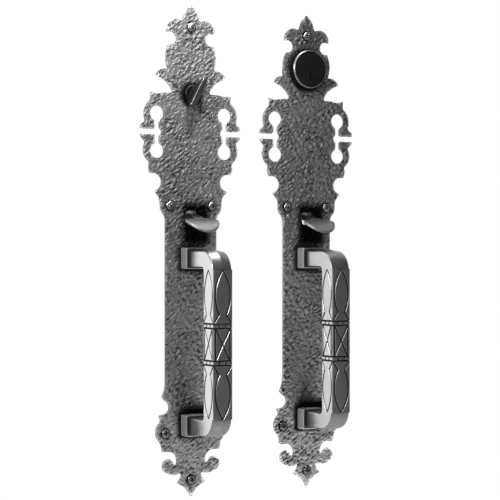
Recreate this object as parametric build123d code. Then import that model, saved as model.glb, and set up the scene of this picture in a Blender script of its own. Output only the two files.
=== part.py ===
from build123d import *
import os
from math import cos, radians, tan

# A pair of cast iron handle plates for a mortise lock, in millimetres.
# X runs across the door, Y into the door and Z up. The origin is the middle of the outside
# plate's back, on the face of the door. The inside half stands beside it, facing the same way.

# Driving dimensions

plate_thickness = 4.0
plate_spacing = 133.0
shank_half_width = 28.3

# The plate's ornament is drawn on a square grid of this step
ornament_step = 1.0
hole_radius = 7.3
slot_width = 4.2
slot_gap = 4.8
slot_depth_radius = 3.0

grip_spacing = 163.0
grip_below_lever = 43.0
grip_lower_rise = 72.0
grip_width = 20.8
grip_depth = 20.4
grip_projection = 64.0
grip_arm = 17.0
grip_bend = 22.0
gable_drop = 1.6
panel_depth = 4.0
panel_margin = 0.5
grip_inner_bend = 4.0
grip_edge = 1.2
foot_width = 23.4
foot_height = 20.6
foot_depth = 11.5
groove_width = 2.0
groove_depth = 0.9
leaf_tip = 70.5
leaf_wide = 51.0
leaf_waist = 28.5
leaf_tail = 20.4
leaf_share = 0.75
leaf_waist_share = 0.37
leaf_flare_share = 0.9
band_outer = 19.6
band_inner = 15.4
band_block_share = 0.33

screw_shank_radius = 2.1
screw_thread_radius = 1.6
screw_thread_start = 1.0
screw_head_radius = 4.4
screw_dome = 1.7
screw_length = 19.0
screw_clearance = 0.15
recess_span = 4.8
recess_width = 1.1
recess_depth = 1.7

top_screw_drop = 21.5
middle_screw_drop = 196.5
middle_screw_half_spread = 23.2
lower_screw_rise = 64.5
lower_screw_half_spread = 28.2
bottom_screw_rise = 17.8

grip_screw_radius = 3.0
grip_screw_head_radius = 5.6
grip_screw_length = 18.0

cylinder_drop = 55.8
barrel_radius = 14.65
barrel_neck_radius = 14.2
barrel_thread_start = 1.0
barrel_length = 28.6
head_radius = 17.3
head_thickness = 3.2
head_recess = 0.3
collar_radius = 19.6
collar_rim_radius = 18.5
collar_height = 6.2
collar_bevel = 1.4
cylinder_clearance = 0.2
plug_radius = 6.35
plug_offset = 5.0
plug_clearance = 0.05
plug_overhang = 0.4
keyway_width = 1.3
keyway_height = 8.6
keyway_rise = 1.2
cam_thickness = 2.6
cam_reach = 15.0
cam_nose_width = 7.0
cam_screw_radius = 1.0
cam_screw_head_radius = 1.9
cam_screw_head_height = 1.2
cam_screw_length = 6.0
cam_screw_place = 4.0
cam_screw_slit = 0.5

lever_drop = 205.0
lever_pivot_depth = 5.6
lever_neck_width = 9.0
lever_neck_height = 7.0
lever_neck_taper = 0.5
lever_neck_overlap = 4.0
lever_boss_radius = 4.6
lever_reach = 36.5
lever_tail_length = 27.0
lever_tail_height = 5.0
lever_travel = 13.0
lever_slope = 11.0
thumb_half_width = 18.3
thumb_back = 14.5
thumb_widest = 21.0
thumb_thickness = 2.5
thumb_root_drop = 3.2
thumb_nose_drop = 17.2
thumb_belly = 2.4
thumb_corner = 3.0
pivot_clearance = 0.05
pivot_radius = 2.0
lever_side_gap = 0.4
lever_slot_gap = 0.6
lug_thickness = 4.0
lug_radius = 5.2

turn_drop = 87.0
turn_rest_angle = 28.0
turn_hub_radius = 9.0
turn_hub_height = 4.0
turn_blade_height = 12.5
turn_blade_outer = 34.0
turn_blade_inner = 15.5
turn_blade_thickness = 6.0
turn_blade_round = 2.0
turn_edge = 0.8
turn_hub_round = 1.5
turn_stem_radius = 4.0
turn_clearance = 0.06
turn_recess_radius = 8.0
turn_recess_depth = 2.4
turn_washer_radius = 7.5
turn_washer_thickness = 1.2
turn_clip_radius = 6.0
turn_clip_thickness = 1.0
turn_clip_groove = 0.9
turn_clip_mouth = 5.6
turn_stem_end = 1.2
turn_end_play = 0.15
spindle_width = 4.8
spindle_thickness = 2.4
spindle_reach = 34.0
spindle_socket = 8.0
spindle_clearance = 0.05

plate_height = lever_drop + grip_below_lever + grip_spacing + grip_lower_rise
plate_top = plate_height / 2
plate_bottom = -plate_height / 2
plate_front = -plate_thickness
inside_x = -plate_spacing

cylinder_z = plate_top - cylinder_drop
lever_z = plate_top - lever_drop
turn_z = plate_top - turn_drop
grip_low_z = plate_bottom + grip_lower_rise
grip_z = grip_low_z + grip_spacing / 2
grip_feet = (grip_low_z, grip_low_z + grip_spacing)

# Screw places across the plate and up it
screw_places = [(0.0, plate_top - top_screw_drop), (0.0, plate_bottom + bottom_screw_rise)]
for side in (-1, 1):
    screw_places.append((side * middle_screw_half_spread, plate_top - middle_screw_drop))
    screw_places.append((side * lower_screw_half_spread, plate_bottom + lower_screw_rise))

# How far a cutter reaches past the face it cuts
overcut = 1.0

# How a box or bar sits on its place: on its lower end, running back from it, or back and up from it
standing = (Align.CENTER, Align.CENTER, Align.MIN)
running_back = (Align.CENTER, Align.MIN, Align.CENTER)
running_back_up = (Align.CENTER, Align.MIN, Align.MIN)
running_front = (Align.CENTER, Align.MAX, Align.CENTER)
running_back_down = (Align.CENTER, Align.MIN, Align.MAX)


def front_plane(y, z=0.0):
    """The sketch plane at depth y, seen from the front: x to the right, height above z up."""
    return Plane(origin=(0, y, z), x_dir=(1, 0, 0), z_dir=(0, -1, 0))


def side_plane(x, z=0.0, y=0.0):
    """The sketch plane at x, seen from the left: distance in front of y to the right, height above z up."""
    return Plane(origin=(x, y, z), x_dir=(0, -1, 0), z_dir=(-1, 0, 0))


def rod(radius, start, end, x=0.0, z=0.0):
    """A round bar along Y from depth start to depth end."""
    return Pos(x, start, z) * Rot(-90, 0, 0) * Cylinder(radius, end - start, align=standing)


def cross_bar(radius, length, y, z):
    """A round bar along X, centred on the middle line."""
    return Pos(0, y, z) * Rot(0, 90, 0) * Cylinder(radius, length)


def run(start, steps):
    """Edges from start through a list of steps: a step is an end point, or an arc's middle and end."""
    edges = []
    here = start
    for step in steps:
        if isinstance(step[0], tuple):
            edges.append(ThreePointArc(here, step[0], step[1]))
            here = step[1]
        else:
            edges.append(Line(here, step))
            here = step
    return edges


def plate_outline():
    """The plate's outline: the right half from the top point to the bottom point, and its mirror image."""

    def head(half_width, drop):
        """A point of the head, in grid steps from the middle line and below the plate's top."""
        return (half_width * ornament_step, plate_top - drop * ornament_step)

    def foot(half_width, rise):
        """A point of the foot, in grid steps from the middle line and above the plate's bottom."""
        return (half_width * ornament_step, plate_bottom + rise * ornament_step)

    # The keyhole openings at the plate's ears: two round holes joined by a slot that runs out at the side
    hole_x, upper_z = head(37.3, 107.2)
    lug_x, lower_z = head(55.4, 143.3)
    slot_in = hole_x - slot_width / 2
    slot_out = hole_x + slot_width / 2
    hole_edge = (hole_radius**2 - (slot_width / 2) ** 2) ** 0.5
    slot_z = (upper_z + lower_z) / 2
    slot_top = slot_z + slot_gap / 2
    slot_low = slot_z - slot_gap / 2
    crown = [
        (head(6.0, 6.5), head(9.3, 16.0)),
        (head(13.2, 14.7), head(17.0, 14.4)),
        (head(24.2, 18.8), head(26.6, 28.5)),
        (head(16.1, 33.1), head(24.6, 38.9)),
        (head(28.0, 51.5), head(25.2, 63.8)),
        (head(32.8, 64.0), head(38.6, 69.5)),
        head(37.4, 71.0),
        (head(27.5, 75.9), head(19.9, 86.8)),
        (head(25.5, 86.4), head(31.5, 86.9)),
        (head(38.0, 87.9), head(44.6, 86.0)),
        head(43.9, 94.2),
    ]
    ear = [
        (head(51.0, 103.8), head(49.6, 115.4)),
        head(54.6, 117.8),
        head(55.4, 119.0),
        (lug_x, slot_top),
        (slot_out, slot_top),
        (slot_out, upper_z - hole_edge),
        ((hole_x, upper_z + hole_radius), (slot_in, upper_z - hole_edge)),
        (slot_in, slot_z + slot_depth_radius),
        ((slot_in - slot_depth_radius, slot_z), (slot_in, slot_z - slot_depth_radius)),
        (slot_in, lower_z + hole_edge),
        ((hole_x, lower_z - hole_radius), (slot_out, lower_z + hole_edge)),
        (slot_out, slot_low),
        (lug_x, slot_low),
        head(55.4, 129.8),
        head(49.9, 135.0),
        (head(51.1, 148.1), head(45.4, 154.3)),
    ]
    shank_side = shank_half_width / ornament_step
    waist = [
        (head(46.3, 159.5), head(44.9, 165.7)),
        head(38.6, 165.6),
        (head(32.5, 174.0), head(36.4, 180.8)),
        head(40.3, 182.0),
        head(38.8, 184.6),
        (head(36.2, 187.0), head(34.2, 190.8)),
        head(34.0, 198.0),
        (head(33.2, 201.2), head(31.3, 204.0)),
        (head(shank_side + 1.0, 206.8), head(shank_side, 210.4)),
    ]
    base = [
        foot(shank_side, 116.0),
        (foot(shank_side + 1.0, 107.5), foot(32.3, 100.0)),
        foot(28.7, 96.1),
        (foot(24.3, 90.2), foot(28.3, 83.7)),
        foot(36.1, 82.5),
        (foot(34.2, 79.6), foot(33.4, 76.3)),
        (foot(39.0, 66.0), foot(34.6, 56.4)),
        foot(32.6, 53.0),
        foot(32.0, 46.5),
        foot(22.0, 46.3),
        (foot(16.3, 40.4), foot(17.9, 31.4)),
        (foot(20.2, 37.3), foot(24.8, 40.0)),
        (foot(31.7, 33.4), foot(28.4, 26.7)),
        (foot(20.6, 23.7), foot(10.4, 25.4)),
        (foot(11.8, 20.4), foot(16.0, 15.2)),
        (foot(6.2, 9.6), foot(0.0, 0.0)),
    ]
    half = Curve() + run(head(0.0, 0.0), crown + ear + waist + base)
    return make_face(half + mirror(half, Plane.YZ))


def countersink(radius, head_radius, mouth, inward, x, z):
    """A cone from a head's radius at depth mouth down to a hole's radius; inward is its direction."""
    cone = Cone(head_radius, radius, head_radius - radius, align=standing)
    return Pos(x, mouth, z) * Rot(-90 * inward, 0, 0) * cone


def plate():
    """One plate, with its screw holes, the lever's slot and the two pivot lugs behind it."""
    body = extrude(front_plane(0) * plate_outline(), plate_thickness)
    hole = screw_shank_radius + screw_clearance
    sink = screw_head_radius + screw_clearance
    for x, z in screw_places:
        body -= rod(hole, plate_front - overcut, overcut, x, z)
        body -= countersink(hole, sink, plate_front, 1, x, z)
    for z in grip_feet:
        body -= rod(grip_screw_radius + screw_clearance, plate_front - overcut, overcut, 0, z)
        sink = grip_screw_head_radius + screw_clearance
        body -= countersink(grip_screw_radius + screw_clearance, sink, 0, -1, 0, z)
    slot_half = lever_neck_width / 2 + lever_slot_gap
    body -= lever_slot(slot_half)
    lug_in = lever_neck_width / 2 + lever_side_gap
    for side in (-1, 1):
        x = side * (lug_in + lug_thickness / 2)
        lug = Pos(x, lever_pivot_depth / 2, lever_z) * Box(lug_thickness, lever_pivot_depth, 2 * lug_radius)
        lug += Pos(x, lever_pivot_depth, lever_z) * Rot(0, 90, 0) * Cylinder(lug_radius, lug_thickness)
        body += lug
    body -= cross_bar(pivot_radius, lever_pin_length() + 2 * overcut, lever_pivot_depth, lever_z)
    return body


def lever_pin_length():
    return lever_neck_width + 2 * (lever_side_gap + lug_thickness)


def lever_slot(slot_half):
    """The opening in the plate for the lever's neck, tall enough for its whole swing."""
    reach = lever_pivot_depth + plate_thickness
    pressed = lever_slope + lever_travel
    top = lever_neck_height / 2 / cos(radians(lever_slope)) - lever_pivot_depth * tan(radians(lever_slope))
    low = lever_neck_height / 2 / cos(radians(pressed)) + reach * tan(radians(pressed))
    top += lever_slot_gap
    low += lever_slot_gap
    z = lever_z + (top - low) / 2
    return Pos(0, plate_front / 2, z) * Box(2 * slot_half, plate_thickness * 2, top + low)


def grip_profile(inset):
    """The grip's side view: two arms joined by the upright bar, with its outer line set in by inset."""
    start = plate_thickness + foot_depth
    front = plate_thickness + grip_projection - inset
    back = plate_thickness + grip_projection - grip_depth
    top = grip_spacing / 2 + grip_arm / 2 - inset
    inner = grip_spacing / 2 - grip_arm / 2
    bend = grip_bend - inset
    corner = 1 - cos(radians(45))
    upper = [
        (front - bend, top),
        ((front - bend * corner, top - bend * corner), (front, top - bend)),
        (front, 0.0),
    ]
    half = Curve() + run((start, top), upper)
    round_in = grip_inner_bend * corner
    inside = [
        (back - grip_inner_bend, inner),
        ((back - round_in, inner - round_in), (back, inner - grip_inner_bend)),
        (back, 0.0),
    ]
    half += run((start, inner), inside)
    half += Line((start, top), (start, inner))
    return make_face(half + mirror(half, Plane.XZ))


def groove(edge):
    """A V-shaped cutter along one line or arc of a face's pattern; the face is the pattern's own plane."""
    proud = groove_depth / 2
    flank = groove_width / 2 * (1 + proud / groove_depth)
    section = Plane(origin=edge @ 0, x_dir=(0, 0, 1), z_dir=edge % 0)
    vee = make_face(Polyline((-groove_depth, 0), (proud, flank), (proud, -flank), close=True))
    return sweep(section * vee, path=edge)


def engraving(half_width):
    """The chased lines of one face: a leaf with a flared tail at each end, bands and a crossed panel."""
    leaf = half_width * leaf_share
    waist = half_width * leaf_waist_share
    flare = half_width * leaf_flare_share
    band = half_width + groove_width
    edges = []
    for end in (-1, 1):
        for side in (-1, 1):
            neck = (side * waist, end * leaf_waist)
            edges.append(ThreePointArc((0, end * leaf_tip), (side * leaf, end * leaf_wide), neck))
            edges.append(Line(neck, (side * flare, end * leaf_tail)))
            x = side * half_width * band_block_share
            edges.append(Line((x, end * band_inner), (x, end * band_outer)))
        for z in (band_outer, band_inner):
            edges.append(Line((-band, end * z), (band, end * z)))
        edges.append(Line((-leaf, -end * band_inner), (leaf, end * band_inner)))
        edges.append(Line((end * leaf, -band_inner), (end * leaf, band_inner)))
    return [groove(edge) for edge in edges]


def grip():
    """The grip: a bar with a ridge over its bends and a flat front panel, on two feet, engraved."""
    front = plate_thickness + grip_projection
    middle = front - grip_depth / 2
    half = grip_width / 2
    ridge = side_plane(0, grip_z) * grip_profile(0.0)
    body = Part()
    for side in (-1, 1):
        flank = side_plane(side * half, grip_z) * grip_profile(gable_drop)
        body += loft([ridge, flank], ruled=True)
    foot_front = plate_front - foot_depth
    rim = body.edges().filter_by(lambda edge: all(abs(abs(v.X) - half) < 1e-6 for v in edge.vertices()))
    body = fillet(rim.filter_by(lambda edge: edge.center().Y < foot_front - 1e-6), grip_edge)
    panel = Box(grip_width, panel_depth, 2 * (leaf_tip + panel_margin), align=running_back)
    panel = Pos(0, -front, grip_z) * panel
    panel_edges = panel.edges().filter_by(Axis.Z).sort_by(Axis.Y)[:2]
    body += fillet(panel_edges, grip_edge)
    for side in (-1, 1):
        face = Plane(origin=(side * half, -middle, grip_z), x_dir=(0, side, 0), z_dir=(side, 0, 0))
        body -= [face.location * cutter for cutter in engraving(grip_depth / 2)]
    body -= [front_plane(-front, grip_z).location * cutter for cutter in engraving(half)]
    for z in grip_feet:
        foot = Pos(0, plate_front - foot_depth / 2, z) * Box(foot_width, foot_depth, foot_height)
        edges = foot.edges().filter_by(lambda edge: edge.center().Y < plate_front - 1e-6)
        body += fillet(edges, grip_edge)
        hole = grip_screw_radius + screw_clearance
        body -= rod(hole, -grip_screw_length - overcut, plate_front + overcut, 0, z)
    return body


def cross_recess(y, x, z):
    """The crossed slot in a screw's head, cut from depth y inwards."""
    across = Box(recess_span, 2 * recess_depth, recess_width)
    upright = Box(recess_width, 2 * recess_depth, recess_span)
    return Pos(x, y, z) * (across + upright)


def plate_screws():
    """Six oval-head wood screws: a domed head in its countersink, a shank and a point."""
    sink = screw_head_radius - screw_shank_radius
    dome_radius = (screw_head_radius**2 + screw_dome**2) / (2 * screw_dome)
    tip = screw_thread_radius * 2
    end = plate_front + screw_length
    solids = []
    for x, z in screw_places:
        head = countersink(screw_shank_radius, screw_head_radius, plate_front, 1, x, z)
        dome = Pos(x, plate_front - screw_dome + dome_radius, z) * Sphere(dome_radius)
        dome &= rod(screw_head_radius, plate_front - screw_dome - overcut, plate_front, x, z)
        shank = rod(screw_shank_radius, plate_front + sink, screw_thread_start, x, z)
        shank += rod(screw_thread_radius, screw_thread_start, end - tip, x, z)
        point = Cone(screw_thread_radius, screw_thread_radius / 10, tip, align=standing)
        point = Pos(x, end - tip, z) * Rot(-90, 0, 0) * point
        solids.append(head + dome + shank + point - cross_recess(plate_front - screw_dome, x, z))
    return solids


def grip_screws():
    """Two countersunk screws from the back of the plate into the grip's feet."""
    solids = []
    for z in grip_feet:
        head = countersink(grip_screw_radius, grip_screw_head_radius, 0, -1, 0, z)
        shank = rod(grip_screw_radius, -grip_screw_length, 0, 0, z)
        solids.append(head + shank - cross_recess(0, 0, z))
    return solids


def thumb_lever():
    """The thumb lever: a dished thumbpiece, a neck through the plate, a pivot eye and a tail."""
    pivot = (-lever_pivot_depth, lever_z)
    slope = tan(radians(lever_slope))
    neck_end = plate_thickness + thumb_back + lever_neck_overlap
    neck_run = neck_end + lever_pivot_depth
    rise = lever_neck_height / 2 / cos(radians(lever_slope))
    neck = Polyline(
        (pivot[0], pivot[1] + rise),
        (neck_end, pivot[1] - neck_run * slope + rise * lever_neck_taper),
        (neck_end, pivot[1] - neck_run * slope - rise * lever_neck_taper),
        (pivot[0], pivot[1] - rise),
        close=True,
    )
    half_neck = lever_neck_width / 2
    body = extrude(side_plane(half_neck) * make_face(neck), lever_neck_width)
    body += cross_bar(lever_boss_radius, lever_neck_width, lever_pivot_depth, lever_z)
    tail = Box(lever_neck_width, lever_tail_length, lever_tail_height, align=running_back)
    body += Pos(0, lever_pivot_depth, lever_z) * tail
    back = plate_thickness + thumb_back - overcut
    nose = plate_thickness + lever_reach + overcut
    root_z = lever_z - thumb_root_drop
    nose_z = lever_z - thumb_nose_drop
    middle = ((back + nose) / 2, (root_z + nose_z) / 2 + thumb_belly)
    upper = ThreePointArc((back, root_z), middle, (nose, nose_z))
    lower_middle = (middle[0], middle[1] - thumb_thickness)
    lower = ThreePointArc((back, root_z - thumb_thickness), lower_middle, (nose, nose_z - thumb_thickness))
    ends = [Line((p, a), (p, a - thumb_thickness)) for p, a in ((back, root_z), (nose, nose_z))]
    bent = make_face(Curve() + [upper, lower] + ends)
    strip_half = thumb_half_width + overcut
    strip = extrude(side_plane(strip_half) * bent, 2 * strip_half)
    widest = -(plate_thickness + thumb_widest)
    left, right = (-thumb_half_width, widest), (thumb_half_width, widest)
    outline = Curve() + ThreePointArc(left, (0, -(plate_thickness + lever_reach)), right)
    outline += ThreePointArc(right, (0, -(plate_thickness + thumb_back)), left)
    shape = fillet(make_face(outline).vertices(), thumb_corner)
    deep = thumb_nose_drop + thumb_thickness + overcut
    body += strip & extrude(Pos(0, 0, lever_z - deep) * shape, deep + overcut)
    eye = pivot_radius + pivot_clearance
    return body - cross_bar(eye, lever_neck_width + 2 * overcut, lever_pivot_depth, lever_z)


def lever_pin():
    """The pin that the lever tips on, held in the two lugs."""
    return cross_bar(pivot_radius, lever_pin_length(), lever_pivot_depth, lever_z)


def cylinder_collar():
    """The bevelled ring that the cylinder's head sits in."""
    rim = plate_front - collar_height
    outside = rod(collar_radius, rim + collar_bevel, plate_front, 0, cylinder_z)
    cone = Cone(collar_radius, collar_rim_radius, collar_bevel, align=standing)
    outside += Pos(0, rim + collar_bevel, cylinder_z) * Rot(90, 0, 0) * cone
    seat = rim + head_recess + head_thickness
    bore = rod(head_radius + cylinder_clearance, rim - overcut, seat, 0, cylinder_z)
    bore += rod(barrel_radius + cylinder_clearance, rim, plate_front + overcut, 0, cylinder_z)
    return outside - bore


def cylinder_ends():
    """The depths of the cylinder's face, the back of its head and the end of its barrel."""
    face = plate_front - collar_height + head_recess
    return face, face + head_thickness, face + head_thickness + barrel_length


def cylinder_shell():
    """The cylinder's body: a round head and barrel, bored off-centre for the plug."""
    face, shoulder, end = cylinder_ends()
    body = rod(head_radius, face, shoulder, 0, cylinder_z)
    body += rod(barrel_neck_radius, shoulder, barrel_thread_start, 0, cylinder_z)
    body += rod(barrel_radius, barrel_thread_start, end, 0, cylinder_z)
    return body - rod(plug_radius, face - overcut, end + overcut, 0, cylinder_z - plug_offset)


def cylinder_plug():
    """The plug that the key turns, with its keyway and the holes for the cam's screws."""
    face, _, end = cylinder_ends()
    z = cylinder_z - plug_offset
    body = rod(plug_radius - plug_clearance, face, end + plug_overhang, 0, z)
    keyway = Box(keyway_width, barrel_length, keyway_height, align=running_back_up)
    body -= Pos(0, face - overcut, z - plug_radius + keyway_rise) * keyway
    back = end + plug_overhang
    for x in (-cam_screw_place, cam_screw_place):
        body -= rod(cam_screw_radius, back - cam_screw_length, back + overcut, x, z)
    return body


def cylinder_cam():
    """The cam on the plug's end: a disc with a nose."""
    end = cylinder_ends()[2] + plug_overhang
    z = cylinder_z - plug_offset
    body = rod(plug_radius - plug_clearance, end, end + cam_thickness, 0, z)
    nose = Box(cam_nose_width, cam_thickness, cam_reach, align=running_back_up)
    body += Pos(0, end, z) * nose
    for x in (-cam_screw_place, cam_screw_place):
        body -= rod(cam_screw_radius + screw_clearance, end - overcut, end + cam_thickness + overcut, x, z)
    return body


def cylinder_cam_screws():
    """Two small cheese-head screws through the cam into the plug."""
    end = cylinder_ends()[2] + plug_overhang
    seat = end + cam_thickness
    z = cylinder_z - plug_offset
    solids = []
    for x in (-cam_screw_place, cam_screw_place):
        head = rod(cam_screw_head_radius, seat, seat + cam_screw_head_height, x, z)
        shank = rod(cam_screw_radius - plug_clearance, seat - cam_screw_length, seat, x, z)
        slit = Box(2 * cam_screw_head_radius, cam_screw_head_height, cam_screw_slit)
        solids.append(head + shank - Pos(x, seat + cam_screw_head_height, z) * slit)
    return solids


def turned(solid):
    """A piece of the thumbturn, tilted about its axis as it stands at rest."""
    return Pos(0, 0, turn_z) * Rot(0, turn_rest_angle, 0) * Pos(0, 0, -turn_z) * solid


def turn_depths():
    """The depths of the washer's seat, the clip's near face, the clip's far face and the stem's end."""
    seat = -turn_recess_depth
    clip = seat + turn_washer_thickness + turn_end_play
    clip_end = clip + turn_clip_thickness
    return seat, clip, clip_end, clip_end + turn_stem_end


def turn_knob():
    """The thumbturn: a fan-shaped blade on a round hub, with a stem through the plate."""
    seat = plate_front - turn_end_play
    hub_front = seat - turn_hub_height
    body = rod(turn_hub_radius, hub_front, seat, 0, turn_z)
    body = fillet(body.faces().sort_by(Axis.Y)[0].edges(), turn_hub_round)
    inner, outer = turn_blade_inner / 2, turn_blade_outer / 2
    near, far = -seat, -hub_front + turn_blade_height
    fan = make_face(Polyline((near, inner), (far, outer), (far, -outer), (near, -inner), close=True))
    fan = fillet(fan.vertices().sort_by(Axis.X)[-2:], turn_blade_round)
    blade = extrude(side_plane(-turn_blade_thickness / 2, turn_z) * fan, -turn_blade_thickness)
    rim = blade.edges().filter_by(lambda edge: edge.center().Y < seat - 1e-6)
    blade = fillet(rim.filter_by(lambda edge: abs(edge.center().X) > 1e-6), turn_edge)
    _, clip, clip_end, stem_end = turn_depths()
    body += blade
    body += rod(turn_stem_radius, seat, stem_end, 0, turn_z)
    ring = rod(turn_stem_radius + overcut, clip, clip_end, 0, turn_z)
    body -= ring - rod(turn_stem_radius - turn_clip_groove, clip, clip_end, 0, turn_z)
    socket_width = spindle_width + 2 * spindle_clearance
    socket_thickness = spindle_thickness + 2 * spindle_clearance
    socket = Box(socket_thickness, spindle_socket, socket_width, align=running_front)
    body -= Pos(0, stem_end, turn_z) * socket
    return turned(body)


def turn_spindle():
    """The flat bar from the thumbturn's stem into the lock."""
    start = turn_depths()[3] - spindle_socket
    bar = Box(spindle_thickness, spindle_reach - start, spindle_width, align=running_back)
    return turned(Pos(0, start, turn_z) * bar)


def turn_washer():
    """The washer in the recess of the plate's back."""
    seat = turn_depths()[0]
    ring = rod(turn_washer_radius, seat, seat + turn_washer_thickness, 0, turn_z)
    return ring - rod(turn_stem_radius + turn_clearance, seat - overcut, overcut, 0, turn_z)


def turn_clip():
    """The open retaining clip in the stem's groove."""
    _, start, end, _ = turn_depths()
    core = turn_stem_radius - turn_clip_groove
    ring = rod(turn_clip_radius, start, end, 0, turn_z)
    ring -= rod(core, start - overcut, end + overcut, 0, turn_z)
    gap = Box(turn_clip_mouth, end - start, turn_clip_radius, align=running_back_down)
    return turned(ring - Pos(0, start, turn_z) * gap)


def write(name, solids):
    """Write one node: a single solid, or a group of separate solids."""
    group = solids if isinstance(solids, list) else [solids]
    shape = Compound(children=group) if len(group) > 1 else group[0]
    shape.label = name
    export_step(shape, f"parts/{name}.step")


def moved(solids, x):
    """The same piece or pieces, x to the side."""
    if isinstance(solids, list):
        return [Pos(x, 0, 0) * solid for solid in solids]
    return Pos(x, 0, 0) * solids


os.makedirs("parts", exist_ok=True)

shared = {
    "grip": grip(),
    "grip_screws": grip_screws(),
    "thumb_lever": thumb_lever(),
    "lever_pin": lever_pin(),
    "plate_screws": plate_screws(),
}
for half, x in (("outside", 0.0), ("inside", inside_x)):
    for name, solids in shared.items():
        write(f"{half}_{name}", moved(solids, x))

bare_plate = plate()
cylinder_hole = rod(barrel_radius + cylinder_clearance, plate_front - overcut, overcut, 0, cylinder_z)
turn_hole = rod(turn_stem_radius + turn_clearance, plate_front - overcut, overcut, 0, turn_z)
turn_hole += rod(turn_recess_radius, -turn_recess_depth, overcut, 0, turn_z)
write("outside_plate", bare_plate - cylinder_hole)
write("inside_plate", moved(bare_plate - turn_hole, inside_x))

write("cylinder_collar", cylinder_collar())
write("cylinder_shell", cylinder_shell())
write("cylinder_plug", cylinder_plug())
write("cylinder_cam", cylinder_cam())
write("cylinder_cam_screws", cylinder_cam_screws())

write("turn_knob", moved(turn_knob(), inside_x))
write("turn_spindle", moved(turn_spindle(), inside_x))
write("turn_washer", moved(turn_washer(), inside_x))
write("turn_clip", moved(turn_clip(), inside_x))
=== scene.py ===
from math import cos, radians, sin

import bmesh
import bpy
import numpy as np
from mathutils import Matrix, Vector


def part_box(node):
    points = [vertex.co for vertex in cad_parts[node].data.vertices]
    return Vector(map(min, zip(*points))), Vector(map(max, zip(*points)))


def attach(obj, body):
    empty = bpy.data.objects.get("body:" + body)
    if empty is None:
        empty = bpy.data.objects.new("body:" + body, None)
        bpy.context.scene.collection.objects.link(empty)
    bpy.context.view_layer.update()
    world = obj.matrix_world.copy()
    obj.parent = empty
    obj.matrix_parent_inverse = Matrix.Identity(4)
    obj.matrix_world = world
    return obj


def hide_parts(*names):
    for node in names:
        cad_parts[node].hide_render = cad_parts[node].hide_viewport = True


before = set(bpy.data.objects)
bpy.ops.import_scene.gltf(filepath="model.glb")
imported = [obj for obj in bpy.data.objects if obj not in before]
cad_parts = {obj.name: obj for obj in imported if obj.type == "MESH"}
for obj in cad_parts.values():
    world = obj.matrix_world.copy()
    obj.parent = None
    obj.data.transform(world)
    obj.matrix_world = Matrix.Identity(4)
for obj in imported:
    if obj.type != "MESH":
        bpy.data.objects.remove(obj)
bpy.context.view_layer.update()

# The view: both halves hang side by side and are seen from their left at mid height.
# One long lens takes the pair, so that the nearer half is only a little larger.

pair_middle = Vector((-0.0651, 0.0, 0.0016))
view_yaw = radians(29.6)
view_distance = 1.6
focal_pixels = 1595.0
image_pixels = 500
sensor_width = 36.0

camera_data = bpy.data.cameras.new("camera")
camera_data.sensor_fit = "HORIZONTAL"
camera_data.sensor_width = sensor_width
camera_data.lens = focal_pixels * sensor_width / image_pixels
camera = bpy.data.objects.new("camera", camera_data)
camera.location = pair_middle + view_distance * Vector((-sin(view_yaw), -cos(view_yaw), 0.0))
camera.rotation_euler = (radians(90), 0.0, -view_yaw)
bpy.context.scene.collection.objects.link(camera)
bpy.context.scene.camera = camera
bpy.context.scene.view_settings.view_transform = "Standard"


# The studio: a white room, which metal mirrors dimmer towards the front, and a pale floor that glows.
# The key lamp stands at the left, with a small one over the inside half and a wide one under both.
# The grips mirror a tall panel behind on the left, and the inside grip's upper bend a card overhead.

dim_front = 0.15
front_edge = -0.25
back_edge = 0.35
ambient = 0.03
floor_height = -0.90
floor_half = 2.0
floor_glow = 0.5
floor_dark = 0.78
floor_light = 0.82


class Socket:
    """An output of a shader node; arithmetic on it adds Math nodes to the same tree."""

    def __init__(self, tree, link):
        self.tree = tree
        self.link = link

    def node(self, kind, settings=None, output=0, **inputs):
        """Any node: its settings are set first, then its sockets by name or by number as _0, _1."""
        new = self.tree.nodes.new(kind)
        for name, value in (settings or {}).items():
            setattr(new, name, value)
        for name, value in inputs.items():
            key = int(name[1:]) if name[1:].isdigit() else name.replace("_", " ")
            if isinstance(value, Socket):
                value.feed(new.inputs[key])
            else:
                new.inputs[key].default_value = value
        return Socket(self.tree, new.outputs[output])

    def feed(self, socket):
        """Link this to the input of another node."""
        self.tree.links.new(self.link, socket)

    def maths(self, operation, first, second=0.0):
        return self.node("ShaderNodeMath", {"operation": operation}, _0=first, _1=second)

    def __add__(self, other):
        return self.maths("ADD", self, other)

    def __radd__(self, other):
        return self.maths("ADD", other, self)

    def __sub__(self, other):
        return self.maths("SUBTRACT", self, other)

    def __rsub__(self, other):
        return self.maths("SUBTRACT", other, self)

    def __mul__(self, other):
        return self.maths("MULTIPLY", self, other)

    def __rmul__(self, other):
        return self.maths("MULTIPLY", other, self)

    def step(self, low, high):
        """0 where this lies below low, 1 above high, and smooth between."""
        return self.node("ShaderNodeMapRange", {"interpolation_type": "SMOOTHSTEP"},
                         Value=self, From_Min=low, From_Max=high)

    def band(self, low, inner_low, inner_high, high):
        """1 between the inner limits, 0 outside the outer ones, and smooth between."""
        return self.step(low, inner_low) * (1 - self.step(inner_high, high))

    def mix(self, none, full):
        """The colour none where this is 0, the colour full where it is 1."""
        return self.node("ShaderNodeMix", {"data_type": "RGBA"}, output=2, _0=self, _6=none, _7=full)


def grey(value):
    """A neutral colour of the given lightness."""
    return (value, value, value, 1.0)


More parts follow.
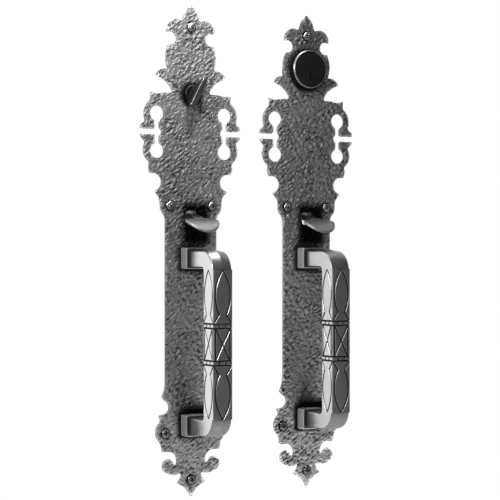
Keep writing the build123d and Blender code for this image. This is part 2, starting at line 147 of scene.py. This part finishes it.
world = bpy.data.worlds.new("studio")
bpy.context.scene.world = world
world.use_nodes = True
room = world.node_tree.nodes["Background"].inputs
sky = Socket(world.node_tree, None)
rays = sky.node("ShaderNodeLightPath").link.node.outputs
ray_kinds = ("Is Camera Ray", "Is Transmission Ray", "Is Glossy Ray")
straight, through, glossy = [Socket(world.node_tree, rays[kind]) for kind in ray_kinds]
direction = sky.node("ShaderNodeTexCoord", output="Generated")
behind = sky.node("ShaderNodeSeparateXYZ", output="Y", Vector=direction).step(front_edge, back_edge)
mirrored = glossy * (dim_front + (1 - dim_front) * behind)
strength = sky.maths("MAXIMUM", sky.maths("MAXIMUM", straight + through, mirrored), ambient)
room["Color"].default_value = grey(1.0)
strength.feed(room["Strength"])


def lamp(name, place, aim, width, height, watts, spread=180):
    """A rectangular area lamp at place that points at aim, with its light spread over an angle in degrees."""
    data = bpy.data.lights.new(name, "AREA")
    data.shape = "RECTANGLE"
    data.size = width
    data.size_y = height
    data.energy = watts
    data.spread = radians(spread)
    light = bpy.data.objects.new(name, data)
    light.location = place
    light.rotation_euler = (Vector(aim) - Vector(place)).to_track_quat("-Z", "Y").to_euler()
    light.visible_camera = False
    bpy.context.scene.collection.objects.link(light)
    return light


lamp("upper", place=(-0.20, -0.22, 0.47), aim=(-0.148, 0.0, 0.21),
     width=0.09, height=0.07, watts=0.38, spread=52)
lower = lamp("lower", place=(0.04, -0.19, -0.47), aim=(-0.005, 0.0, -0.18),
             width=0.40, height=0.16, watts=2.3, spread=80)
lower.visible_glossy = False
lamp("left", place=(-0.78, -0.44, 0.36), aim=(-0.066, 0.0, 0.0),
     width=0.12, height=0.12, watts=9.6)
lamp("panel", place=(-0.56, 0.60, 0.0), aim=(-0.133, -0.05, -0.05),
     width=0.16, height=0.9, watts=2.6)
card = lamp("card", place=(-0.035, 0.06, 0.42), aim=(-0.035, -0.06, 0.0),
            width=0.14, height=0.5, watts=2.2)
card.visible_diffuse = False


def material(name, metallic):
    """A new material, with its shader's inputs and its Object coordinates."""
    new = bpy.data.materials.new(name)
    new.use_nodes = True
    inputs = new.node_tree.nodes["Principled BSDF"].inputs
    inputs["Metallic"].default_value = metallic
    place = Socket(new.node_tree, None).node("ShaderNodeTexCoord", output="Object")
    return new, inputs, place


def noise(place, size, detail=3.0, roughness=0.55):
    """Noise from 0 to 1 with grains of about size metres."""
    return place.node("ShaderNodeTexNoise", Vector=place, Scale=1.0 / size,
                      Detail=detail, Roughness=roughness)


def coat(inputs, colour, roughness, height, relief, strength=1.0):
    """Put a colour, a roughness and a bump of the given relief in metres on a shader."""
    bump = height.node("ShaderNodeBump", output="Normal", Height=height, Distance=relief, Strength=strength)
    colour.feed(inputs["Base Color"])
    roughness.feed(inputs["Roughness"])
    bump.feed(inputs["Normal"])


floor_mesh = bpy.data.meshes.new("floor")
floor_corners = np.array([(-1, -1), (1, -1), (1, 1), (-1, 1)]) * floor_half
floor_points = np.column_stack([floor_corners, np.full(4, floor_height)])
floor_mesh.from_pydata(floor_points.tolist(), [], [(0, 1, 2, 3)])
floor = bpy.data.objects.new("floor", floor_mesh)
bpy.context.scene.collection.objects.link(floor)
pale, pale_inputs, pale_place = material("pale_floor", metallic=0.0)
cloudy = noise(pale_place, size=0.2)
pale_colour = cloudy.mix(grey(floor_dark), grey(floor_light))
coat(pale_inputs, pale_colour, 0.8 + 0.1 * cloudy, cloudy, relief=0.0005)
pale_inputs["Emission Color"].default_value = grey(1.0)
pale_inputs["Emission Strength"].default_value = floor_glow
floor_mesh.materials.append(pale)


# The two plates: iron castings with pierced ears and soft edges, hammered all over the front but for
# the seats of the fittings. They are blackened and rubbed back with a wire wheel, which leaves black in
# the deep creases, deepened there by painted shade. Painted shade also darkens the plate round the
# fittings and screw heads, and painted shadows lie behind the levers and above the lower arms.

plate_front = -0.004
voxel = 0.00084
edge_rounds = 8


def merged_copy(node, name):
    """A copy of a CAD node's mesh with its doubled corners merged."""
    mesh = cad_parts[node].data.copy()
    mesh.name = name
    mesh.materials.clear()
    for normals in ("custom_normal", "sharp_edge", "sharp_face"):
        mesh.attributes.remove(mesh.attributes[normals])
    shell = bmesh.new()
    shell.from_mesh(mesh)
    bmesh.ops.remove_doubles(shell, verts=shell.verts, dist=1e-6)
    shell.to_mesh(mesh)
    shell.free()
    piece = bpy.data.objects.new(name, mesh)
    bpy.context.scene.collection.objects.link(piece)
    return piece


def remeshed(piece, size):
    """The same solid as an even mesh of quads with sides of about size."""
    fine = piece.modifiers.new("even", "REMESH")
    fine.mode = "VOXEL"
    fine.voxel_size = size
    even = bpy.data.meshes.new_from_object(piece.evaluated_get(bpy.context.evaluated_depsgraph_get()))
    piece.modifiers.clear()
    even.name = piece.name
    piece.data = even


def corners(mesh):
    """A mesh's corner points, its edges and its outward directions as arrays."""
    points = np.empty(3 * len(mesh.vertices))
    mesh.vertices.foreach_get("co", points)
    edges = np.empty(2 * len(mesh.edges), dtype=np.int32)
    mesh.edges.foreach_get("vertices", edges)
    outward = np.empty(3 * len(mesh.vertices))
    mesh.vertex_normals.foreach_get("vector", outward)
    return points.reshape(-1, 3), edges.reshape(-1, 2), outward.reshape(-1, 3)


def neighbour_mean(values, edges):
    """For each corner, the mean of the values at the corners it shares an edge with."""
    ends = np.concatenate([edges, edges[:, ::-1]])
    count = len(values)
    shared = np.bincount(ends[:, 0], minlength=count)
    sums = [np.bincount(ends[:, 0], column[ends[:, 1]], minlength=count) for column in values.T]
    return np.column_stack(sums) / np.maximum(shared, 1)[:, None]


def put(mesh, points):
    """Move a mesh's corners to the given points."""
    mesh.vertices.foreach_set("co", points.ravel())
    mesh.update()


def keep(mesh, name, values):
    """Store one number per corner, for a material to read."""
    mesh.attributes.new(name, "FLOAT", "POINT").data.foreach_set("value", values.astype(np.float32))


def kept(place, name):
    """The number that keep stored under this name, in a material."""
    return place.node("ShaderNodeAttribute", {"attribute_name": name}, output="Fac")


def softened(mesh, rounds, size):
    """Round a mesh's edges: each round moves every corner halfway to its neighbours' mean.

    Returns how far each corner then stands out from its neighbours: 0 on flats and in hollows, and 1 on
    edges, where it is a tenth of size or more.
    """
    points, edges, _ = corners(mesh)
    for _ in range(rounds):
        points += 0.5 * (neighbour_mean(points, edges) - points)
    put(mesh, points)
    points, edges, outward = corners(mesh)
    proud = np.einsum("ij,ij->i", points - neighbour_mean(points, edges), outward)[:, None]
    for _ in range(2):
        proud = neighbour_mean(proud, edges)
    return np.clip(proud[:, 0] / (0.10 * size), 0.0, 1.0)


def gradient_noise(u, v, seed):
    """Smooth noise of about -0.7 to 0.7 with one bump per unit.

    Every corner of a unit grid has a slope in a random direction. A point sums its four corners' slopes times
    its offsets from them, weighted along each side by t*t*t*(t*(6t - 15) + 10).
    """
    cells = 512
    angle = np.random.default_rng(seed).uniform(0.0, 2 * np.pi, (cells, cells))
    i, j = np.floor(u).astype(int), np.floor(v).astype(int)
    s, t = u - i, v - j

    def corner(a, b):
        turn = angle[(i + a) % cells, (j + b) % cells]
        return np.cos(turn) * (s - a) + np.sin(turn) * (t - b)

    def weight(f):
        return f * f * f * (f * (6 * f - 15) + 10)

    low = corner(0, 0) + weight(s) * (corner(1, 0) - corner(0, 0))
    high = corner(0, 1) + weight(s) * (corner(1, 1) - corner(0, 1))
    return low + weight(t) * (high - low)


hammer_depth = 0.0023
stroke_slant = radians(35)
stroke_length = 0.0062
stroke_width = 0.0029
dab_length = 0.0040
dab_width = 0.0024
wander = 0.0014
wander_size = 0.006
swell_size = 0.013
blow_size = 0.022


def hammering(x, z, seed):
    """The hammered height from 0 to 1: 0.55 + blow * (1.5 |strokes| - 0.45 + 0.55 dabs) + 0.15 swell.

    Strokes and dabs are noise drawn out along the slant, so the strokes leave lumps with creases between.
    How heavy a blow is goes with 0.9 + 0.4 noise, and the strokes wander a little to the side.
    """
    along = x * cos(stroke_slant) + z * sin(stroke_slant)
    across = z * cos(stroke_slant) - x * sin(stroke_slant)
    across = across + wander * gradient_noise(x / wander_size, z / wander_size, seed)
    strokes = np.abs(gradient_noise(along / stroke_length, across / stroke_width, seed + 1))
    dabs = gradient_noise(along / dab_length, across / dab_width, seed + 2)
    swell = gradient_noise(x / swell_size, z / swell_size, seed + 3)
    blow = 0.9 + 0.4 * gradient_noise(x / blow_size, z / blow_size, seed + 4)
    return np.clip(0.55 + blow * (1.5 * strokes - 0.45 + 0.55 * dabs) + 0.15 * swell, 0.0, 1.0)


def off_seat(x, z, middle, half, corner_radius, reach):
    """0 on a seat and 1 beyond its reach: a smooth step of the distance outside a round-cornered oblong."""
    beside = np.maximum(np.abs(x - middle[0]) - half[0], 0)
    above = np.maximum(np.abs(z - middle[1]) - half[1], 0)
    t = np.clip((np.hypot(beside, above) - corner_radius) / reach, 0.0, 1.0)
    return t * t * (3 - 2 * t)


def box_middle(node):
    """The middle of a node's own box."""
    low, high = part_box(node)
    return [(low[axis] + high[axis]) / 2 for axis in range(3)]


def round_seat(x, z, node, reach):
    """A round seat under a node's own box."""
    low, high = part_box(node)
    across, _, up = box_middle(node)
    return off_seat(x, z, (across, up), (0.0, 0.0), (high[0] - low[0]) / 2, reach)


foot_height = 0.0206


def foot_seats(x, z, grip, reach):
    """The two seats at the ends of a grip's own box."""
    low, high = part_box(grip)
    across = box_middle(grip)[0]
    half = ((high[0] - low[0]) / 2, foot_height / 2)
    lower_foot = off_seat(x, z, (across, low[2] + half[1]), half, 0.0, reach)
    return lower_foot * off_seat(x, z, (across, high[2] - half[1]), half, 0.0, reach)


arm_shadow_shift = 0.006
arm_shadow_half = (0.012, 0.003)


def arm_shadow(x, z, grip, reach):
    """The plate above a grip's lower arm, set to the right where the arm's shadow falls: a painted shadow."""
    low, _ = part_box(grip)
    middle = (box_middle(grip)[0] + arm_shadow_shift, low[2] + foot_height)
    return off_seat(x, z, middle, arm_shadow_half, 0.0, reach)


lever_shadow_shift = 0.005
lever_shadow_height = 0.027
lever_shadow_half = (0.010, 0.016)


def lever_shadow(x, z, lever, reach):
    """The plate behind a lever's thumbpiece, set to the right where its shadow falls: a painted shadow."""
    middle = (box_middle(lever)[0] + lever_shadow_shift, lever_shadow_height)
    return off_seat(x, z, middle, lever_shadow_half, 0.0, reach)


screw_places = np.array([(0.0, 0.22), (0.0, -0.2237), (0.0232, 0.045), (-0.0232, 0.045),
                         (0.0282, -0.177), (-0.0282, -0.177)])
head_radius = 0.0044


def screw_seats(x, z, middle, reach):
    """The six rings round the screw heads of the plate at middle."""
    seats = [off_seat(x, z, (middle + across, up), (0.0, 0.0), head_radius, reach)
             for across, up in screw_places]
    return np.prod(seats, axis=0)


iron_metallic = 0.2
iron_hollow = grey(0.055)
iron_crown = grey(0.122)
iron_worn = grey(0.30)
iron_shade_black = grey(0.004)

iron, iron_inputs, iron_place = material("hammered_black_iron", iron_metallic)
rise = kept(iron_place, "rise")
edge = kept(iron_place, "edge")
painted_shade = kept(iron_place, "painted_shade")
cloud = noise(iron_place, size=0.03)
sand = noise(iron_place, size=0.0011, detail=4.0, roughness=0.6)
pebble = 2 * iron_place.maths("ABSOLUTE", noise(iron_place, size=0.0032, detail=1.0) - 0.5)
worn = (edge * (0.4 + 0.8 * sand)).step(0.2, 0.9)
# Painted shade: black where the stored shade lies, and black in the hammering's deepest hollows, partly black
# left by the wheel and partly painted shade; the hollows are also darker than the crowns, partly as painted
# shade.
painted_shade_and_crease_black = iron_place.maths("MAXIMUM", painted_shade, 0.6 - 0.6 * rise.step(0.02, 0.25))
brushed_and_shaded_colour = (0.7 * rise + 0.3 * cloud).mix(iron_hollow, iron_crown)
iron_colour = painted_shade_and_crease_black.mix(worn.mix(brushed_and_shaded_colour, iron_worn), iron_shade_black)
iron_roughness = 0.52 - 0.16 * rise + 0.14 * cloud - 0.06 * worn + 0.2 * painted_shade_and_crease_black
(iron_metallic + (1 - iron_metallic) * painted_shade_and_crease_black).feed(iron_inputs["Metallic"])
coat(iron_inputs, iron_colour, iron_roughness, pebble + 0.3 * sand, relief=0.0009, strength=0.8)

seat_fade = 0.0015
shade_round_seats = 0.006
shadow_behind_levers = 0.011
shadow_over_arms = 0.010
shade_round_screws = 0.0016
hammer_from = 0.3
hammer_full = 0.8

for half, seed, round_part in (("outside", 11, "cylinder_collar"), ("inside", 47, "turn_knob")):
    plate = merged_copy(half + "_plate", half + "_cast_plate")
    low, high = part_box(half + "_plate")
    remeshed(plate, voxel)
    keep(plate.data, "edge", softened(plate.data, edge_rounds, voxel))
    points, _, outward = corners(plate.data)
    x, y, z = points.T
    facing = np.clip((-outward[:, 1] - hammer_from) / (hammer_full - hammer_from), 0.0, 1.0)
    facing *= y < plate_front / 2
    # Painted shade: the plate darkens round the feet, the collar or thumbturn and the screw heads, and
    # painted shadows lie behind the levers and above the lower arms.
    unshaded = foot_seats(x, z, half + "_grip", shade_round_seats)
    unshaded *= round_seat(x, z, round_part, shade_round_seats)
    unshaded *= lever_shadow(x, z, half + "_thumb_lever", shadow_behind_levers)
    unshaded *= arm_shadow(x, z, half + "_grip", shadow_over_arms)
    unshaded *= screw_seats(x, z, box_middle(half + "_plate")[0], shade_round_screws)
    keep(plate.data, "painted_shade", facing * (1.0 - unshaded))
    level = hammering(x, z, seed)
    open_face = foot_seats(x, z, half + "_grip", seat_fade) * round_seat(x, z, round_part, seat_fade) * facing
    keep(plate.data, "rise", 0.5 + open_face * (level - 0.5))
    points[:, 1] += open_face * hammer_depth * (1.0 - level)
    put(plate.data, np.clip(points, low, high))
    plate.data.shade_smooth()
    plate.data.materials.append(iron)
    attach(plate, "plates")
    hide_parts(half + "_plate")


# The two grips: C-shaped bars with square feet, cast in one piece, filed smooth and blacked to a satin.
# Leaves, bands and a crossed panel are chased into three faces of each bar. Black stays in the cuts, and
# painted shade darkens the arms next to the feet. Edges are rubbed bright, the lips of the cuts and the
# bends' crests also as painted highlight, and the feet are left as cast.

grip_middles = (0.0, -0.133)
bar_half = 0.0104
bar_front = 0.068
chased_middle = -0.088
chased_half = 0.0712
chased_fade = 0.0006
foot_front = -0.0155
smooth_angle = radians(14)

cut_depths = (0.00015, 0.0004, 0.00095, 0.0011)
lip_highlight_depths = (0.00003, 0.0002, 0.0003, 0.0005)
edge_width = (0.0003, 0.0010)
crest_highlight_width = (0.0002, 0.0008)
root_shade_lengths = (-0.0002, 0.0002, 0.0030, 0.0125)
foot_edge = (-0.0006, -0.0001)
filing_stretch = (1.0, 1.0, 0.12)

satin_metallic = 0.95
foot_metallic = 0.35
satin_dark = grey(0.18)
satin_light = grey(0.32)
satin_rubbed_and_highlight = grey(0.42)
cut_and_shade_black = grey(0.008)


def smoothed_copy(node, name, body):
    """A merged copy of a node that rides on its body, smooth but for edges sharper than smooth_angle."""
    piece = merged_copy(node, name)
    piece.data.shade_smooth()
    piece.data.set_sharp_from_angle(angle=smooth_angle)
    piece.modifiers.new("flat_faces", "WEIGHTED_NORMAL").keep_sharp = True
    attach(piece, body)
    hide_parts(node)
    return piece


satin, satin_inputs, satin_place = material("filed_black_satin", satin_metallic)
across, back, up = [satin_place.node("ShaderNodeSeparateXYZ", output=axis, Vector=satin_place)
                    for axis in "XYZ"]
from_middles = [satin_place.maths("ABSOLUTE", across - middle) for middle in grip_middles]
sideways = satin_place.maths("MINIMUM", *from_middles)
from_side = bar_half - sideways
from_front = back + bar_front
from_foot = foot_front - back
sunk = satin_place.maths("MINIMUM", from_side, from_front)
chased = 1 - satin_place.maths("ABSOLUTE", up - chased_middle).step(chased_half, chased_half + chased_fade)
in_cut = sunk.band(*cut_depths) * chased
ridge = (1 - from_side.step(*edge_width)) * (1 - from_front.step(*edge_width))
lip_wear_and_highlight = from_front.band(*lip_highlight_depths) * chased
crest_wear_and_highlight = (1 - sideways.step(*crest_highlight_width)) * (1 - chased)
on_foot = 1 - from_foot.step(*foot_edge)
stretched = satin_place.node("ShaderNodeMapping", Vector=satin_place, Scale=filing_stretch)
filing = noise(stretched, size=0.0007, detail=2.0)
smudge = noise(satin_place, size=0.022)
# Edges are lighter as wear; the lips of the cuts and the crest along each bend are lighter as wear and as
# painted highlight.
rubbed = ((ridge + 0.6 * lip_wear_and_highlight + 0.6 * crest_wear_and_highlight) * (0.3 + smudge)).step(0.3, 0.9)
# The cuts are black in their own right; the arms go black next to the feet as painted shade.
cut_black_and_root_shade = satin_place.maths("MAXIMUM", in_cut, 0.97 * from_foot.band(*root_shade_lengths))
filed_colour = (0.05 + 0.6 * smudge + 0.3 * filing).mix(satin_dark, satin_light)
satin_colour = (0.98 * cut_black_and_root_shade).mix(rubbed.mix(filed_colour, satin_rubbed_and_highlight), cut_and_shade_black)
satin_roughness = 0.28 + 0.10 * smudge + 0.06 * filing + 0.2 * cut_black_and_root_shade
(satin_metallic - (satin_metallic - foot_metallic) * on_foot).feed(satin_inputs["Metallic"])
coat(satin_inputs, satin_colour, satin_roughness, filing, relief=0.00002, strength=0.5)

for half in ("outside", "inside"):
    grip = smoothed_copy(half + "_grip", half + "_bar_grip", "plates")
    grip.data.materials.append(satin)


# The two thumb levers: dished half-moon thumbpieces on a neck through the plate, cast and blacked.
# Each tips on a steel pin between the plate's two lugs, and its tail lifts the latch.

lever_voxel = 0.0003
lever_rounds = 14
rubbed_grey = grey(0.42)
edge_shade_to = 0.002
edge_bright_from = 0.004


def soft_casting(node, name, size, rounds):
    """A node's solid as an even mesh with its edges rounded, kept inside the node's own box."""
    piece = merged_copy(node, name)
    remeshed(piece, size)
    keep(piece.data, "edge", softened(piece.data, rounds, size))
    put(piece.data, np.clip(corners(piece.data)[0], *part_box(node)))
    piece.data.shade_smooth()
    return piece


def cast_black(name, metallic, dull, handled, shade_to, handled_from):
    """A blacked casting: dull black, kept plain near the plate as painted shade, and a handled grey beyond
    handled_from.

    Its edges are rubbed bright, other than close to the plate, where the painted shade keeps them dark.
    """
    new, inputs, place = material(name, metallic)
    smudge = noise(place, size=0.012)
    grain = noise(place, size=0.0008)
    out = 0.0 - place.node("ShaderNodeSeparateXYZ", output="Y", Vector=place)
    # Painted shade: from the plate out to the shade distance the casting stays plain dull black, and the grey
    # of handling starts only beyond.
    handled_past_shade = out.step(shade_to, handled_from) * (0.1 + 0.7 * smudge + 0.6 * grain)
    rubbed = (kept(place, "edge") * (0.4 + smudge)).step(0.3, 1.0)
    rubbed_past_shade = rubbed * out.step(shade_to - edge_shade_to, shade_to + edge_bright_from)
    colour = rubbed_past_shade.mix(handled_past_shade.mix(grey(dull), grey(handled)), rubbed_grey)
    roughness = 0.34 + 0.12 * smudge + 0.05 * grain - 0.05 * rubbed
    coat(inputs, colour, roughness, grain, relief=0.00003, strength=0.5)
    return new


lever_black = cast_black("lever_black", metallic=0.5, dull=0.012, handled=0.22,
                         shade_to=0.012, handled_from=0.036)

for half in ("outside", "inside"):
    lever = soft_casting(half + "_thumb_lever", half + "_cast_lever", lever_voxel, lever_rounds)
    lever.data.materials.append(lever_black)
    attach(lever, half + "_lever")
    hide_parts(half + "_thumb_lever")


# The plate screws: oval-head wood screws of blacked steel, six to a plate, rubbed bright on their domes.
# Each has a crossed slot, near-black inside from dirt and from painted shade in the recess.

screw_voxel = 0.00022
screw_rounds = 2
head_front = -0.0057
dome_rise = 0.0017
slot_from = 0.0002
slot_fade = 0.0003
slot_reach = 0.0033
screw_dark = grey(0.10)
screw_rubbed = grey(0.42)
screw_dirt_and_shade = grey(0.01)

bright, bright_inputs, bright_place = material("rubbed_screw_steel", metallic=1.0)
edge = kept(bright_place, "edge")
# Dirt and painted shade: the crossed slots go near-black.
slot_dirt_and_shade = kept(bright_place, "slot")
speck = noise(bright_place, size=0.0012, detail=4.0)
rubbed = (0.20 + 0.5 * edge + 0.5 * speck).step(0.2, 0.9)
bright_colour = slot_dirt_and_shade.mix(rubbed.mix(screw_dark, screw_rubbed), screw_dirt_and_shade)
bright_roughness = 0.26 + 0.15 * speck + 0.3 * slot_dirt_and_shade
coat(bright_inputs, bright_colour, bright_roughness, speck, relief=0.00003, strength=0.5)


def slot_depth(points, middle):
    """1 in a head's crossed slot and 0 on its dome: how far a corner lies behind the dome of its own screw.

    The dome is a sphere through the head's rim and front, at front + R - sqrt(R*R - r*r) for a radius r.
    """
    offset = points[:, None, [0, 2]] - (screw_places + (middle, 0.0))[None]
    radius = np.hypot(*offset.transpose(2, 0, 1)).min(axis=1)
    dome_radius = (head_radius**2 + dome_rise**2) / (2 * dome_rise)
    dome = head_front + dome_radius - np.sqrt(dome_radius**2 - np.minimum(radius, head_radius) ** 2)
    return np.clip((points[:, 1] - dome - slot_from) / slot_fade, 0.0, 1.0) * (radius < slot_reach)


for half in ("outside", "inside"):
    screws = soft_casting(half + "_plate_screws", half + "_oval_screws", screw_voxel, screw_rounds)
    middle = box_middle(half + "_plate_screws")[0]
    keep(screws.data, "slot", slot_depth(corners(screws.data)[0], middle))
    screws.data.materials.append(bright)
    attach(screws, "plates")
    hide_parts(half + "_plate_screws")


# The lock cylinder: a turned collar, the cylinder's head in it and the plug that the key turns.
# All are brass, blacked after turning, with the tool's rings left on their faces. The collar's rim
# is rubbed a little and carries a painted highlight ring, and painted shade blacks the inside of the keyway.

ring_radians_per_metre = 14000.0
rim_highlight_radii = (0.0181, 0.0186, 0.0192, 0.0196)
keyway_depth = (-0.0095, -0.0092)
keyway_radius = (0.0120, 0.0125)
lathe_dark = grey(0.018)
lathe_light = grey(0.045)
lathe_rubbed_and_highlight = grey(0.28)
keyway_shade_black = grey(0.004)

lathe, lathe_inputs, lathe_place = material("turned_black", metallic=0.85)
across, _, up = box_middle("cylinder_collar")
from_axis = lathe_place.node("ShaderNodeVectorMath", {"operation": "SUBTRACT"}, _0=lathe_place,
                             _1=(across, 0.0, up))
flat = from_axis.node("ShaderNodeVectorMath", {"operation": "MULTIPLY"}, _0=from_axis, _1=(1.0, 0.0, 1.0))
radius = flat.node("ShaderNodeVectorMath", {"operation": "LENGTH"}, output="Value", _0=flat)
back = lathe_place.node("ShaderNodeSeparateXYZ", output="Y", Vector=lathe_place)
rings = radius.maths("SINE", radius * ring_radians_per_metre)
smudge = noise(lathe_place, size=0.009)
# The collar's rim: a lighter ring, from wear and as painted highlight.
rim_wear_and_highlight = 0.8 * radius.band(*rim_highlight_radii) * (0.4 + smudge)
# Painted shade: the keyway's inside, behind the face, is near-black.
keyway_shade = back.step(*keyway_depth) * (1 - radius.step(*keyway_radius))
turned_colour = (0.6 * smudge + 0.1 * rings).mix(lathe_dark, lathe_light)
lathe_colour = keyway_shade.mix(rim_wear_and_highlight.mix(turned_colour, lathe_rubbed_and_highlight), keyway_shade_black)
lathe_roughness = 0.30 + 0.12 * smudge + 0.03 * rings
coat(lathe_inputs, lathe_colour, lathe_roughness, rings, relief=0.000006, strength=0.6)

for node, name, body in (("cylinder_collar", "turned_collar", "plates"),
                         ("cylinder_shell", "turned_cylinder", "plates"),
                         ("cylinder_plug", "turned_plug", "plug")):
    piece = smoothed_copy(node, name, body)
    piece.data.materials.append(lathe)


# The thumbturn: a fan-shaped blade on a round hub, cast in one piece and blacked like the levers.
# Its stem goes through the plate and is held behind by a washer and a clip.

turn_voxel = 0.0003
turn_rounds = 3

turn_black = cast_black("thumbturn_black", metallic=0.9, dull=0.010, handled=0.10,
                        shade_to=0.006, handled_from=0.026)
turn = soft_casting("turn_knob", "cast_thumbturn", turn_voxel, turn_rounds)
turn.data.materials.append(turn_black)
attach(turn, "turn")
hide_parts("turn_knob")


# The steel behind the plates: pivot pins, the grips' own screws, the thumbturn's bar, washer and clip,
# and the cylinder's cam with its screws. All are plain and zinc plated, and the door hides them.

zinc_dark = grey(0.34)
zinc_light = grey(0.56)

plain, plain_inputs, plain_place = material("zinc_plated_steel", metallic=1.0)
crystal = noise(plain_place, size=0.0025)
haze = noise(plain_place, size=0.010)
plain_colour = (0.5 * crystal + 0.5 * haze).mix(zinc_dark, zinc_light)
coat(plain_inputs, plain_colour, 0.34 + 0.16 * haze, crystal, relief=0.00002, strength=0.5)

hidden = ["cylinder_cam", "cylinder_cam_screws", "turn_spindle", "turn_washer", "turn_clip"]
hidden += [half + part for half in ("outside", "inside") for part in ("_lever_pin", "_grip_screws")]
for node in hidden:
    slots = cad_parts[node].data.materials
    slots.clear()
    slots.append(plain)
